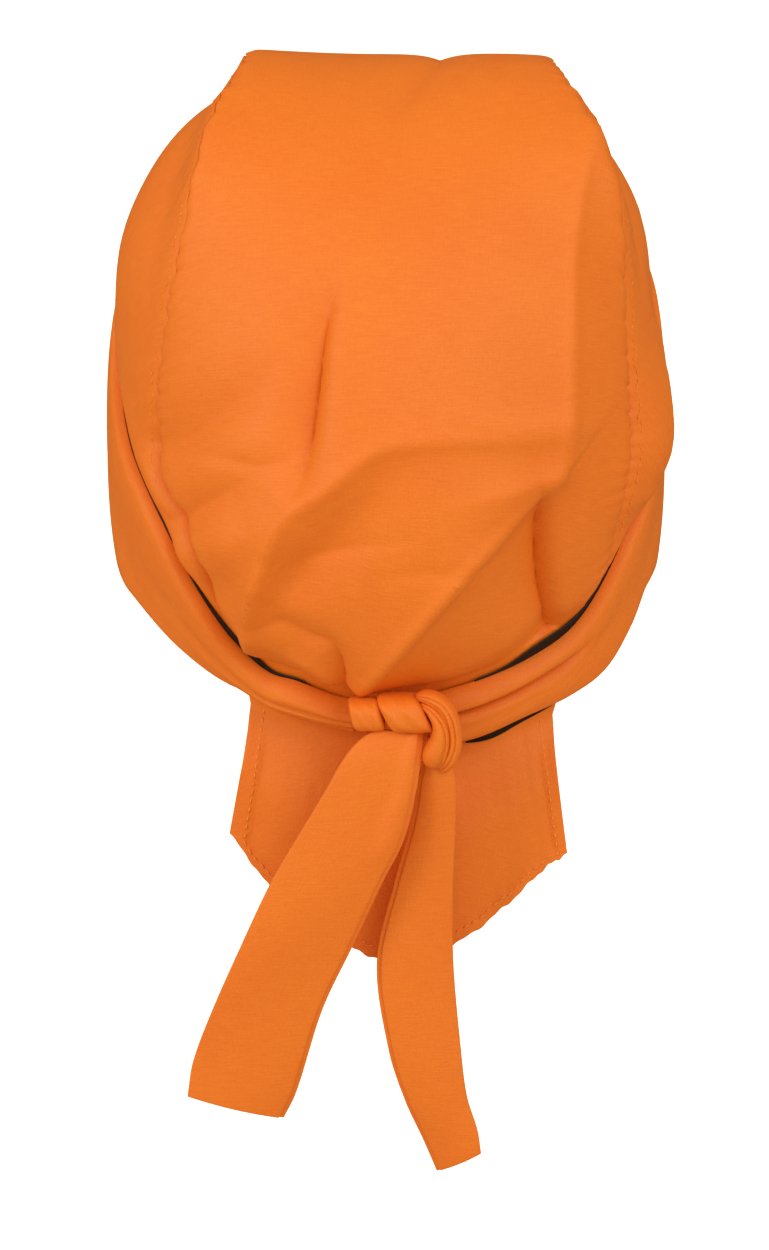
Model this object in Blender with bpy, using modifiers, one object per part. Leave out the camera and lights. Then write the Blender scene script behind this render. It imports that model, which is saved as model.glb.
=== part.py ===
"""A tied bandana cap in orange cotton, in the form that it has when worn.

Three sewn panels make the crown. A folded band runs round the forehead over a black facing, and its two
ends are knotted at the nape over the tail of the centre panel, which hangs free below the knot.

Metres, +Z up, +X to the wearer's left, -Y to the forehead. The origin is the middle of the head opening.
"""

import bisect
import math

import bmesh
import bpy
from mathutils import Vector

# Driving sizes

MM = 0.001
CENTRE = Vector((0.0, 0.0, 35 * MM))
HALF_WIDTH_LEFT = 77.2 * MM
HALF_WIDTH_RIGHT = 75.6 * MM
PANEL_WALL = 1.4 * MM
FACING_WALL = 1.0 * MM
BAND_WALL = 2.2 * MM
TIE_WALL = 2.0 * MM
CLEARANCE = 0.3 * MM
FACING_CLEARANCE = 0.65 * MM
SEAM_GAP = 0.4 * MM
PUFF = 3.0 * MM
PUFF_START = 8 * MM
PUFF_RISE = 16 * MM
HEM_TUCK = 7 * MM
HEM_LEAST = 2.5 * MM
FOLD_END = 20 * MM  # the folds die out over the crown and sides within this of the middle
CORNER_HEIGHT_LEFT = 1.018
CORNER_HEIGHT_RIGHT = 0.998
CORNER_FADE = 9 * MM
CORNER_REACH = 0.4
CORNER_SWEEP = 2.5
WIDEST = 0.9999  # a place across the cap stays within this share of its half width
HALVINGS = 40
TAIL_DEPTH = 69.0 * MM
TAIL_BOW = 5.0 * MM  # how far the tail's edges curve forward at this half width
TAIL_HALF_WIDTH = 45 * MM
TAIL_SETTLED = 0.5  # the share of the way down by which the tail hangs straight

# The inside of the cap in its middle plane: degrees from the back over the crown, radius in mm from
# CENTRE, how square the cross-section is, and how far the seams stand up as corners
PROFILE = (
    (-90, 126.0, 2.3, 0.0),
    (-72, 123.0, 2.3, 0.0),
    (-56, 107.0, 2.25, 0.0),
    (-42, 90.0, 2.15, 0.0),
    (-20, 91.0, 2.05, 0.0),
    (0, 93.5, 2.15, 0.0),
    (25, 97.0, 2.25, 0.0),
    (50, 102.5, 2.4, 0.15),
    (70, 107.5, 2.55, 0.7),
    (90, 110.5, 2.65, 1.0),
    (110, 107.5, 2.6, 0.7),
    (130, 100.0, 2.45, 0.0),
    (160, 92.5, 2.3, 0.0),
    (180, 90.5, 2.3, 0.0),
    (220, 95.0, 2.3, 0.0),
    (250, 121.0, 2.3, 0.0),
    (270, 126.0, 2.3, 0.0),
)

# The two seams: degrees in the middle plane, and how far left and right of it they lie, in mm
SEAMS = (
    (-45, 38.0, 50.0),
    (-30, 46.5, 58.5),
    (-21, 50.0, 62.0),
    (-7, 57.0, 65.5),
    (6, 63.5, 67.0),
    (20, 65.0, 68.0),
    (42, 63.5, 68.0),
    (62, 57.0, 65.0),
    (77, 48.0, 54.5),
    (90, 40.5, 46.5),
    (120, 40.0, 45.0),
    (150, 38.0, 40.0),
)

# The band: azimuth in degrees from the back by the left, lower and upper edge heights in mm, and how far
# its middle stands off the panels in mm
BAND = (
    (-10, -37.5, -19.5, 3.5),
    (9, -34.0, -21.3, 4.0),
    (21, -28.8, -14.4, 3.5),
    (28, -27.0, -11.5, 2.6),
    (35, -22.0, -0.9, 1.6),
    (41, -18.0, 17.0, 1.1),
    (51, -11.5, 38.2, 0.8),
    (66, -5.0, 52.0, 0.6),
    (90, 3.0, 77.0, 0.4),
    (120, 22.0, 92.0, 0.4),
    (180, 44.0, 103.0, 0.4),
    (240, 22.0, 92.0, 0.4),
    (270, 2.0, 77.0, 0.4),
    (290, -2.0, 48.0, 0.4),
    (298, -9.5, 29.0, 0.8),
    (306, -19.5, 16.0, 1.4),
    (316, -26.0, -2.3, 2.2),
    (327, -31.8, -10.3, 3.0),
    (339, -36.0, -15.6, 3.5),
    (350, -37.5, -19.5, 3.5),
)
LEFT_END = 8.4
RIGHT_END = 350.6
SPLIT_FROM = 312  # the band's right end is creased lengthwise from here to the knot
SPLIT_FADE = 12
SPLIT_AT = 0.62
SPLIT_WIDTH = 0.13
SPLIT_DEPTH = 1.6 * MM

# The facing: azimuth, and how far it shows below and above the band in mm
FACING = (
    (19, 0.3, 0.3),
    (27, 0.7, 0.8),
    (32, 0.8, 3.0),
    (40, 0.8, 1.8),
    (60, 0.3, 1.0),
    (90, 0.2, 0.8),
    (270, 0.2, 0.8),
    (308, 0.2, 0.9),
    (318, 0.3, 2.6),
    (327, 1.2, 2.6),
    (334, 2.8, 0.8),
    (341, 1.4, 0.3),
)

# The tail's hem from its left corner round the tip to its right corner, in mm
TAIL_HEM = (
    (0.00, 46.2, -65.5),
    (0.12, 35.4, -79.6),
    (0.25, 23.8, -90.5),
    (0.38, 10.5, -100.2),
    (0.50, -3.0, -104.6),
    (0.62, -17.5, -101.0),
    (0.75, -32.5, -90.0),
    (0.88, -43.8, -77.6),
    (1.00, -51.2, -71.0),
)
NECK_LEFT = 35.0  # azimuths of the tail's two edges where it comes out below the band
NECK_RIGHT = -42.0
NECK_DROP = 5 * MM

# The folds pulled into the back by the knot: place across and up in mm, the reach of the slope on the
# left and right of the fold in mm, and the height of its ridge in mm (a negative one is a crease)
FOLDS = {
    "left ridge": (
        (14, 105, 16, 10, 0.0),
        (18, 61, 14, 9, 1.8),
        (23, 44, 12, 8, 2.4),
        (37, 15, 7, 9, 1.2),
    ),
    "cross ridge": (
        (-14, 53, 9, 9, 0.0),
        (8, 53, 7, 7, 1.3),
        (18, 48, 7, 7, 1.6),
        (36, 19, 7, 7, 1.0),
    ),
    "knot ridge": (
        (-42, 42, 10, 6, 1.0),
        (-25, 22, 12, 8, 2.8),
        (-6, 0, 12, 8, 3.4),
        (9, -17, 10, 8, 2.2),
    ),
    "right tuck": (
        (-43, 43, 3.5, 5, -0.5),
        (-44, 20, 3.5, 5, -2.6),
        (-46, -6, 3.5, 5, -1.6),
    ),
    "right ridge": (
        (-57, 126, 14, 8, 0.5),
        (-50, 112, 14, 9, 1.6),
        (-46, 92, 14, 10, 2.6),
        (-44, 61, 12, 9, 2.8),
        (-43, 45, 10, 6, 1.6),
    ),
    "right pull": (
        (-44, 61, 6, 6, 0.6),
        (-28, 55, 6, 6, 1.2),
        (-13, 52, 6, 6, 0.2),
    ),
    "left pucker": (
        (40, 14, 5, 5, 0.6),
        (37, 2, 5, 5, 1.6),
        (33, -9, 5, 5, 0.8),
    ),
    "knot pucker": (
        (26, 6, 6, 6, 0.4),
        (20, -5, 6, 6, 1.8),
        (14, -15, 5, 5, 1.2),
    ),
    "left swell": (
        (58, 130, 11, 11, 1.5),
        (68, 112, 12, 12, 6.0),
        (74, 92, 12, 12, 7.0),
        (77, 72, 11, 11, 6.0),
        (77, 58, 8, 8, 2.0),
    ),
    "crown dip": (
        (-12, 152, 12, 9, -1.8),
        (-15, 140, 12, 8, -1.8),
        (-18, 124, 10, 6, -0.4),
    ),
    "right swell": (
        (-71, 96, 9, 10, 0.4),
        (-74, 72, 9, 10, 6.2),
        (-73, 50, 8, 9, 8.0),
        (-70, 36, 7, 7, 3.2),
    ),
}

# The left tie from its end up to the knot: its left and right edges in mm, and its depth in mm
TIE_LEFT = (
    (0.00, 58.8, -139.4, 32.4, -146.2, 83.5),
    (0.08, 57.2, -129.0, 27.2, -137.5, 84.0),
    (0.25, 51.4, -112.0, 19.8, -112.5, 85.5),
    (0.42, 44.2, -94.5, 11.2, -93.0, 86.8),
    (0.60, 34.4, -72.8, 2.6, -73.0, 87.6),
    (0.74, 26.4, -58.5, -3.8, -59.0, 87.8),
    (0.88, 18.0, -44.0, -7.4, -44.0, 87.2),
    (1.00, 9.6, -30.0, -9.0, -29.2, 84.0),
)

# The right tie from its end up to the knot, with the same columns
TIE_RIGHT = (
    (0.00, -12.8, -165.6, -27.4, -160.8, 79.0),
    (0.06, -9.6, -155.0, -25.6, -152.5, 79.2),
    (0.17, -2.8, -142.0, -22.4, -141.0, 79.6),
    (0.32, -0.4, -126.0, -20.4, -125.0, 80.0),
    (0.52, 3.4, -100.0, -18.3, -100.0, 80.2),
    (0.72, -1.2, -76.0, -18.0, -76.0, 80.2),
    (0.88, -6.3, -56.0, -18.5, -56.0, 80.6),
    (1.00, -8.4, -41.2, -17.4, -40.6, 82.0),
)
TIE_BOW = 1.2 * MM

# The knot's wraps from left to right: centre across, height, depth, then its height and its thickness
KNOT_WRAP = (
    (-1.0, 11.2, -23.4, 79.6, 9.6, 15.0),
    (0.0, 0.4, -23.0, 80.6, 12.0, 19.0),
    (1.0, -11.0, -22.6, 81.4, 12.8, 19.0),
)
WRAP_LEAN = 0.42

# The knot's loop from its top round to its lower end, with the same columns
KNOT_LOOP = (
    (-1.0, -11.4, -17.4, 82.0, 5.2, 10.0),
    (-0.5, -15.6, -20.4, 83.0, 7.4, 13.0),
    (0.0, -16.7, -27.2, 83.6, 8.6, 14.5),
    (0.5, -15.8, -33.8, 83.8, 9.8, 14.0),
    (1.0, -12.6, -39.8, 83.6, 9.0, 10.0),
)
ROLL_ENDS = 0.6  # how soon a roll's sections grow from its ends, and how square its ends are
ROLL_SQUARE = 0.5
PATH_STEP = 0.05

# The panels' rows from the band over the crown to the forehead: share of the way, degrees
ROW_ANGLES = (
    (0.0, -33.0),
    (0.12, -20.0),
    (0.45, 38.0),
    (0.72, 90.0),
    (1.0, 143.0),
)
TAIL_SHARE = 0.26  # the share of the centre panel's rows below them, and that of the neck behind the band
NECK_SHARE = 0.08

# Mesh steps across and along each piece
PANEL_STEPS = (18, 50)
SIDE_STEPS = (8, 37)
BAND_STEPS = (72, 5)
FACING_STEPS = (60, 4)
BACK_SPAN = 90  # azimuth up to which the band's columns lie closer together
BACK_SHARE = 0.32  # and the share of the columns that each such stretch takes
ROW_CROWDING = 0.7  # rows lie closer together towards a band's upper edge
TIE_STEPS = (6, 20)
KNOT_STEPS = (14, 12)

ORANGE = (0.83, 0.21, 0.035, 1.0)
BLACK = (0.012, 0.012, 0.013, 1.0)
COTTON_ROUGHNESS = 0.85


# Tables and curves


def read_table(rows, at):
    """The columns of a table at a value of its first column, on a smooth curve through its rows."""
    keys = [row[0] for row in rows]
    at = min(max(at, keys[0]), keys[-1])
    i = min(max(bisect.bisect_right(keys, at) - 1, 0), len(rows) - 2)
    near = [rows[min(max(k, 0), len(rows) - 1)] for k in (i - 1, i, i + 1, i + 2)]
    step = near[2][0] - near[1][0]
    t = (at - near[1][0]) / step
    values = []
    for a, b, c, d in zip(*(row[1:] for row in near)):
        slope_b = (c - a) / max(near[2][0] - near[0][0], 1e-9) * step
        slope_c = (d - b) / max(near[3][0] - near[1][0], 1e-9) * step
        values.append(
            (2 * t**3 - 3 * t**2 + 1) * b
            + (t**3 - 2 * t**2 + t) * slope_b
            + (3 * t**2 - 2 * t**3) * c
            + (t**3 - t**2) * slope_c
        )
    return values


def smoothstep(low, high, at):
    t = min(max((at - low) / (high - low), 0.0), 1.0)
    return t * t * (3 - 2 * t)


def mix(a, b, t):
    return a + (b - a) * t


# The cap's surface


def half_width(side):
    return HALF_WIDTH_LEFT if side > 0 else HALF_WIDTH_RIGHT


def seam_across(angle, side):
    left, right = read_table(SEAMS, angle)
    return (left if side > 0 else right) * MM


def base_surface(angle, across):
    """The cap's inside at an angle in its middle plane and a distance across it, seams standing up."""
    side = 1 if across >= 0 else -1
    radius, square, corner = read_table(PROFILE, angle)
    wide = half_width(side)
    seam = seam_across(angle, side)
    distance = min(abs(across), wide * WIDEST)
    share = (1 - (distance / wide) ** square) ** (1 / square)
    seam_share = (1 - (seam / wide) ** square) ** (1 / square)
    height = CORNER_HEIGHT_LEFT if side > 0 else CORNER_HEIGHT_RIGHT
    lift = corner * max(height - seam_share, 0.0)
    if distance < seam:
        share += lift * (distance / seam) ** CORNER_SWEEP
    else:
        fade = min(CORNER_FADE, (wide - seam) * CORNER_REACH)
        share += lift * max(1 - (distance - seam) / fade, 0.0) ** 2
    turn = math.radians(angle)
    reach = share * radius * MM
    return CENTRE + Vector((side * distance, reach * math.cos(turn), reach * math.sin(turn)))


def band_edges(azimuth):
    low, top, bulge = read_table(BAND, (azimuth + 10) % 360 - 10)
    return low * MM, top * MM, bulge * MM


def azimuth_of(point):
    return math.degrees(math.atan2(point.x, point.y)) % 360


def fold_height(x, z):
    """How far the folds lift the cloth at a place seen from behind."""
    total = 0.0
    for rows in FOLDS.values():
        best = None
        for a, b in zip(rows, rows[1:]):
            start = Vector(a[:2])
            run = Vector(b[:2]) - start
            offset = Vector((x / MM, z / MM)) - start
            along = offset.dot(run) / run.length_squared
            t = min(max(along, 0.0), 1.0)
            gap = offset - run * t
            if best is None or gap.length < best[0]:
                turn = run.x * offset.y - run.y * offset.x
                best = (gap.length, turn > 0, [mix(p, q, t) for p, q in zip(a[2:], b[2:])])
        distance, on_first_side, (first, second, height) = best
        reach = first if on_first_side == (rows[-1][1] < rows[0][1]) else second
        total += height * math.exp(-((distance / reach) ** 2))
    return total * MM


def panel_surface(angle, across):
    """The panels' inside: the cap's surface, swelling out above the band and lifted by the folds."""
    point = base_surface(angle, across)
    above = point.z - band_edges(azimuth_of(point))[1]
    free = smoothstep(PUFF_START, PUFF_START + PUFF_RISE, above)
    outward = (point - CENTRE).normalized()
    lift = PUFF * free
    if point.y > -FOLD_END:
        lift += fold_height(point.x, point.z) * free * smoothstep(-FOLD_END, FOLD_END, point.y)
    return point + outward * lift


def reach_along(outward):
    """How far the cap's inside lies from CENTRE along a unit vector, without the seams' corners."""
    plane_angle = (math.degrees(math.atan2(outward.z, outward.y)) + 90) % 360 - 90
    radius, square, _ = read_table(PROFILE, plane_angle)
    across = abs(outward.x) / half_width(outward.x)
    plane = math.hypot(outward.y, outward.z) / (radius * MM)
    return (across**square + plane**square) ** (-1 / square)


def outward_from(point):
    """The unit normal of the cap's surface nearest a point."""
    small = 0.5 * MM

    def excess(place):
        offset = place - CENTRE
        return offset.length - reach_along(offset.normalized())

    slopes = []
    for axis in range(3):
        step = Vector((0.0, 0.0, 0.0))
        step[axis] = small
        slopes.append(excess(point + step) - excess(point - step))
    return Vector(slopes).normalized()


def skin_at(azimuth, z):
    """The cap's inside at an azimuth and a height, and the way out from it."""
    turn = math.radians(azimuth)
    low, high = math.radians(-80), math.radians(80)
    for _ in range(HALVINGS):
        rise = (low + high) / 2
        flat = math.cos(rise)
        outward = Vector((math.sin(turn) * flat, math.cos(turn) * flat, math.sin(rise)))
        reach = reach_along(outward)
        if CENTRE.z + reach * outward.z < z:
            low = rise
        else:
            high = rise
    point = CENTRE + outward * reach
    return point, outward_from(point)


# The pieces, each as a surface of two shares


def seam_limit(angle, side):
    return seam_across(angle, side) - SEAM_GAP / 2


def signed_azimuth(point):
    return math.degrees(math.atan2(point.x, point.y))


def centre_panel(u, v):
    """From the tail's hem (v 0) up behind the band and over the crown to the forehead (v 1)."""
    if v >= TAIL_SHARE:
        angle = read_table(ROW_ANGLES, (v - TAIL_SHARE) / (1 - TAIL_SHARE))[0]
        left = seam_limit(angle, 1)
        right = -seam_limit(angle, -1)
        return panel_surface(angle, mix(left, right, u))
    neck_azimuth = mix(NECK_LEFT, NECK_RIGHT, u)
    neck_z = band_edges(neck_azimuth)[0] - NECK_DROP
    if v >= TAIL_SHARE - NECK_SHARE:
        start = ROW_ANGLES[0][1]
        top = panel_surface(start, mix(seam_limit(start, 1), -seam_limit(start, -1), u))
        t = (TAIL_SHARE - v) / NECK_SHARE
        return skin_at(mix(signed_azimuth(top), neck_azimuth, t), mix(top.z, neck_z, t))[0]
    neck, _ = skin_at(neck_azimuth, neck_z)
    hem_x, hem_z = read_table(TAIL_HEM, u)
    t = 1 - v / (TAIL_SHARE - NECK_SHARE)
    x = mix(neck.x, hem_x * MM, t)
    z = mix(neck.z, hem_z * MM, t)
    y_tail = TAIL_DEPTH - TAIL_BOW * (x / TAIL_HALF_WIDTH) ** 2
    return Vector((x, mix(neck.y, y_tail, smoothstep(0, TAIL_SETTLED, t)), z))


def hem_across(angle, side):
    """Where a side panel's hem lies: below the band's upper edge by the tuck."""
    near = seam_limit(angle, side)
    far = half_width(side) * WIDEST
    for _ in range(HALVINGS):
        middle = (near + far) / 2
        point = base_surface(angle, side * middle)
        if point.z > band_edges(azimuth_of(point))[1] - HEM_TUCK:
            near = middle
        else:
            far = middle
    return near


def side_panel(side):
    """The crown's left (side 1) or right (side -1) panel, on the centre panel's rows, from seam to hem."""

    def surface(u, v):
        angle = read_table(ROW_ANGLES, v)[0]
        seam = seam_across(angle, side) + SEAM_GAP / 2
        hem = max(hem_across(angle, side), seam + HEM_LEAST)
        square = read_table(PROFILE, angle)[1]
        wide = half_width(side)
        turn_seam = math.asin((seam / wide) ** (square / 2))
        turn_hem = math.asin((hem / wide) ** (square / 2))
        share = 1 - u if side > 0 else u
        across = wide * math.sin(mix(turn_seam, turn_hem, share)) ** (2 / square)
        return panel_surface(angle, side * across)

    return surface


def azimuth_along(u, right_end, left_end):
    """Columns lie closer together at the back, where the band's edges are steep."""
    steps = (
        (0.0, right_end),
        (BACK_SHARE, 360 - BACK_SPAN),
        (1 - BACK_SHARE, BACK_SPAN),
        (1.0, left_end),
    )
    for (start, first), (stop, last) in zip(steps, steps[1:]):
        if u <= stop + 1e-9:
            return mix(first, last, (u - start) / (stop - start))


def facing(u, v):
    azimuth = azimuth_along(u, FACING[-1][0], FACING[0][0])
    low, top, _ = band_edges(azimuth)
    show_below, show_above = read_table(FACING, azimuth)
    z = mix(low - show_below * MM, top + show_above * MM, v**ROW_CROWDING)
    point, outward = skin_at(azimuth, z)
    return point + outward * (PANEL_WALL + FACING_CLEARANCE)


def headband(u, v):
    azimuth = azimuth_along(u, RIGHT_END, LEFT_END)
    low, top, bulge = band_edges(azimuth)
    share = v**ROW_CROWDING
    point, outward = skin_at(azimuth, mix(low, top, share))
    crown = bulge * (1 - (2 * share - 1) ** 4)
    split = smoothstep(SPLIT_FROM, SPLIT_FROM + SPLIT_FADE, azimuth) * SPLIT_DEPTH
    crown -= split * math.exp(-(((share - SPLIT_AT) / SPLIT_WIDTH) ** 2))
    return point + outward * (PANEL_WALL + FACING_CLEARANCE + FACING_WALL + CLEARANCE + crown)


def tie(rows):
    def surface(u, v):
        left_x, left_z, right_x, right_z, depth = read_table(rows, v)
        bow = TIE_BOW * (1 - (2 * u - 1) ** 2)
        return Vector(
            (mix(left_x, right_x, u) * MM, depth * MM + bow, mix(left_z, right_z, u) * MM)
        )

    return surface


# Making the objects


def finish(name, mesh, colour, collection):
    material = bpy.data.materials.new(name)
    material.use_nodes = True
    shader = material.node_tree.nodes["Principled BSDF"]
    shader.inputs["Base Color"].default_value = colour
    shader.inputs["Roughness"].default_value = COTTON_ROUGHNESS
    mesh.materials.append(material)
    mesh.shade_smooth()
    obj = bpy.data.objects.new(name, mesh)
    collection.objects.link(obj)
    return obj


def cloth(name, surface, steps, wall, colour, collection):
    """A grid laid on a surface and given the cloth's thickness on its outer side."""
    across, along = steps
    bm = bmesh.new()
    bmesh.ops.create_grid(bm, x_segments=across, y_segments=along, size=0.5)
    for vertex in bm.verts:
        vertex.co = surface(vertex.co.x + 0.5, vertex.co.y + 0.5)
    mesh = bpy.data.meshes.new(name)
    bm.to_mesh(mesh)
    bm.free()
    obj = finish(name, mesh, colour, collection)
    solidify = obj.modifiers.new("wall", "SOLIDIFY")
    solidify.thickness = wall
    solidify.offset = 1
    return obj


def bundle(name, rows, steps, lean, colour, collection):
    """A closed roll of cloth along a path: a sphere drawn out so that its rings become sections."""
    around, along = steps
    bm = bmesh.new()
    bmesh.ops.create_uvsphere(bm, u_segments=around, v_segments=along, radius=1.0)
    for vertex in bm.verts:
        rise = math.asin(max(min(vertex.co.z, 1.0), -1.0))
        place = math.copysign(math.sin(abs(rise)) ** ROLL_ENDS, rise)
        width = math.cos(rise) ** ROLL_SQUARE
        turn = math.atan2(vertex.co.y, vertex.co.x)
        x, z, depth, tall, thick = read_table(rows, place)
        before = read_table(rows, place - PATH_STEP)
        after = read_table(rows, place + PATH_STEP)
        run = Vector((after[0] - before[0], after[1] - before[1])).normalized()
        side = -math.cos(turn) * width * tall / 2
        front = math.sin(turn) * width * thick / 2
        point = Vector((x - run.y * side, depth + front, z + run.x * side))
        point.x += lean * (place + 1) / 2 * (point.z - z)
        vertex.co = point * MM
    mesh = bpy.data.meshes.new(name)
    bm.to_mesh(mesh)
    bm.free()
    return finish(name, mesh, colour, collection)


for old in list(bpy.data.objects):
    bpy.data.objects.remove(old, do_unlink=True)
cap = bpy.data.collections.new("tied_bandana_cap")
bpy.context.scene.collection.children.link(cap)

cloth("centre_panel", centre_panel, PANEL_STEPS, PANEL_WALL, ORANGE, cap)
cloth("side_panel_left", side_panel(1), SIDE_STEPS, PANEL_WALL, ORANGE, cap)
cloth("side_panel_right", side_panel(-1), SIDE_STEPS, PANEL_WALL, ORANGE, cap)
cloth("facing", facing, FACING_STEPS, FACING_WALL, BLACK, cap)
cloth("headband", headband, BAND_STEPS, BAND_WALL, ORANGE, cap)
bundle("knot_wrap", KNOT_WRAP, KNOT_STEPS, WRAP_LEAN, ORANGE, cap)
bundle("knot_loop", KNOT_LOOP, KNOT_STEPS, 0.0, ORANGE, cap)
cloth("tie_left", tie(TIE_LEFT), TIE_STEPS, TIE_WALL, ORANGE, cap)
cloth("tie_right", tie(TIE_RIGHT), TIE_STEPS, TIE_WALL, ORANGE, cap)
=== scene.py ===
"""A tied bandana cap in orange cotton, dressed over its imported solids, in the form that it has when worn."""

import math

import bmesh
import bpy
import numpy as np
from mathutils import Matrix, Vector


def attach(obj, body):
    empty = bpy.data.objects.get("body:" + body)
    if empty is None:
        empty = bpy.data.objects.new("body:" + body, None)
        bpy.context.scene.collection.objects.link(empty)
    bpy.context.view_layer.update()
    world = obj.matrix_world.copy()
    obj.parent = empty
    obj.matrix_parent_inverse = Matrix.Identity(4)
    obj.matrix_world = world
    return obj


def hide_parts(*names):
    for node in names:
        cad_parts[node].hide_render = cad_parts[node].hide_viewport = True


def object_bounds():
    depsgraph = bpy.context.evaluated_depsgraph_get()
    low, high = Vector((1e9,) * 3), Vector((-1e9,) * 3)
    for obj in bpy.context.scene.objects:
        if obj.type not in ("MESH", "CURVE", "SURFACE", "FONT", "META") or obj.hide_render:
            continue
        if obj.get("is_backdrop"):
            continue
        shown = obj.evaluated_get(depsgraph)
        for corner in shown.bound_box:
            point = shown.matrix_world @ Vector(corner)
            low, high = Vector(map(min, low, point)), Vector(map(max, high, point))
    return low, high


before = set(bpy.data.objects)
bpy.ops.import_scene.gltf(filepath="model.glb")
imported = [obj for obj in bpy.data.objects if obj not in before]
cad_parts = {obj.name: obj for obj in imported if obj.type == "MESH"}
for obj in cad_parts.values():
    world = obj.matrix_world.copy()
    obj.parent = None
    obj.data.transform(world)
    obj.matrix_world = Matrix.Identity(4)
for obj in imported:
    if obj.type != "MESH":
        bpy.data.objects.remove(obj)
cad_low, cad_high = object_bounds()
MM = 0.001

# Centre panel: one strip of plain-weave orange cotton, cut from the forehead over the crown to the nape.
# It runs on behind the knotted band and hangs out below it as the tail, hemmed round its two corners
# and its blunt tip. The knot pulls long soft folds into its back.

CENTRE = np.array((0.0, 0.0, 35 * MM))
HALF_WIDTH_LEFT = 77.2 * MM
HALF_WIDTH_RIGHT = 75.6 * MM
CORNER_HEIGHT_LEFT = 1.018
CORNER_HEIGHT_RIGHT = 0.998
CORNER_FADE = 9 * MM
CORNER_REACH = 0.4
CORNER_SWEEP = 2.5
WIDEST = 0.9999
PUFF = 3.0 * MM
PUFF_RISE = 13 * MM
FOLD_START = -3 * MM
FOLD_RISE = 11 * MM
FOLD_END = 20 * MM
TAIL_DEPTH = 69.0 * MM
TAIL_BOW = 5.0 * MM
TAIL_HALF_WIDTH = 45 * MM
TAIL_SETTLED = 0.5
NECK_LEFT = 35.0
NECK_RIGHT = -42.0
NECK_DROP = 5 * MM
TAIL_SHARE = 0.26
NECK_SHARE = 0.08
SEAM_GAP = 0.05 * MM
TAIL_DROP = 62 * MM
HEM_WIDE = 4.2 * MM
HEM_THICK = 0.5 * MM
HEM_RIPPLE = 0.3 * MM
HEM_WAVE = 0.35
HEM_WAVES = 70
HEM_EASE = (1 * MM, 0.5 * MM)
HEM_RIPPLE_LENGTH = 2.1 * MM
HEM_LIFT_FROM = (0.1, 0.3)

# Angle over the crown from the back in degrees, inside radius in mm, squareness, standing corners
PROFILE = (
    (-90, 126.0, 2.3, 0.0),
    (-72, 123.0, 2.3, 0.0),
    (-56, 107.0, 2.25, 0.0),
    (-42, 90.0, 2.15, 0.0),
    (-20, 91.0, 2.05, 0.0),
    (0, 93.5, 2.15, 0.0),
    (25, 97.0, 2.25, 0.0),
    (50, 102.5, 2.4, 0.15),
    (70, 107.5, 2.55, 0.7),
    (90, 110.5, 2.65, 1.0),
    (110, 107.5, 2.6, 0.7),
    (130, 100.0, 2.45, 0.0),
    (160, 92.5, 2.3, 0.0),
    (180, 90.5, 2.3, 0.0),
    (220, 95.0, 2.3, 0.0),
    (250, 121.0, 2.3, 0.0),
    (270, 126.0, 2.3, 0.0),
)

# Angle over the crown in degrees, left and right seam's distance from the middle in mm
SEAMS = (
    (-45, 41.0, 50.0),
    (-30, 47.3, 58.0),
    (-21, 49.6, 60.5),
    (-14, 51.2, 61.5),
    (-5, 57.8, 62.6),
    (1, 62.4, 63.4),
    (8, 65.3, 64.2),
    (20, 65.4, 65.0),
    (42, 61.0, 65.0),
    (62, 53.0, 62.0),
    (77, 46.0, 53.5),
    (90, 40.5, 46.5),
    (120, 40.0, 45.0),
    (150, 38.0, 40.0),
)

# Angle over the crown in degrees, how deep the left and right seams are drawn in, in mm
SEAM_DIP = (
    (-45, 4.6, 1.0),
    (-18, 6.0, 1.0),
    (-2, 6.0, 1.2),
    (9, 4.4, 1.8),
    (18, 1.8, 2.2),
    (28, 1.2, 2.6),
    (60, 1.5, 2.6),
    (90, 1.2, 1.2),
    (150, 1.0, 1.0),
)

# Share of the way from the band over the crown to the forehead, angle over the crown in degrees
ROW_ANGLES = (
    (0.0, -33.0),
    (0.12, -20.0),
    (0.45, 38.0),
    (0.72, 90.0),
    (1.0, 143.0),
)

# The band's azimuth from the back by the left in degrees, lower edge, upper edge and bulge in mm
BAND = (
    (-10, -35.5, -19.5, 3.5),
    (9, -31.6, -21.6, 3.6),
    (21, -28.4, -16.2, 3.3),
    (28, -26.8, -14.2, 2.6),
    (35, -22.6, -5.0, 2.0),
    (41, -20.6, 8.4, 1.7),
    (51, -14.8, 30.0, 1.3),
    (66, -5.0, 46.0, 1.0),
    (78, -1.0, 58.0, 0.8),
    (90, 3.0, 77.0, 1.0),
    (120, 22.0, 94.0, 0.8),
    (180, 44.0, 103.0, 0.4),
    (240, 22.0, 92.0, 0.4),
    (270, 2.0, 77.0, 0.4),
    (290, -2.0, 48.0, 0.4),
    (298, -12.0, 29.0, 1.2),
    (306, -21.6, 16.0, 1.6),
    (316, -26.8, -2.3, 2.2),
    (327, -30.6, -10.3, 2.6),
    (339, -35.6, -15.6, 3.2),
    (350, -37.5, -19.5, 3.5),
)

# Azimuth in degrees, and how far above the band's edge the panels begin to swell out over it, in mm
PUFF_START = (
    (-10, -3.0),
    (12, -3.0),
    (20, 0.0),
    (27, 2.0),
    (33, 1.5),
    (38, -1.0),
    (50, -4.8),
    (180, -4.8),
    (306, -4.8),
    (314, -2.0),
    (320, 1.5),
    (330, 2.0),
    (338, 0.0),
    (350, -3.0),
)

# The tail's hem: share of the way from its left corner to its right one, place across and height in mm
TAIL_HEM = (
    (0.00, 46.2, -65.5),
    (0.12, 35.4, -79.6),
    (0.25, 23.8, -90.5),
    (0.38, 10.5, -98.6),
    (0.50, -2.0, -101.8),
    (0.62, -17.5, -98.6),
    (0.75, -32.5, -87.8),
    (0.88, -43.8, -76.4),
    (1.00, -51.2, -71.0),
)

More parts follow.
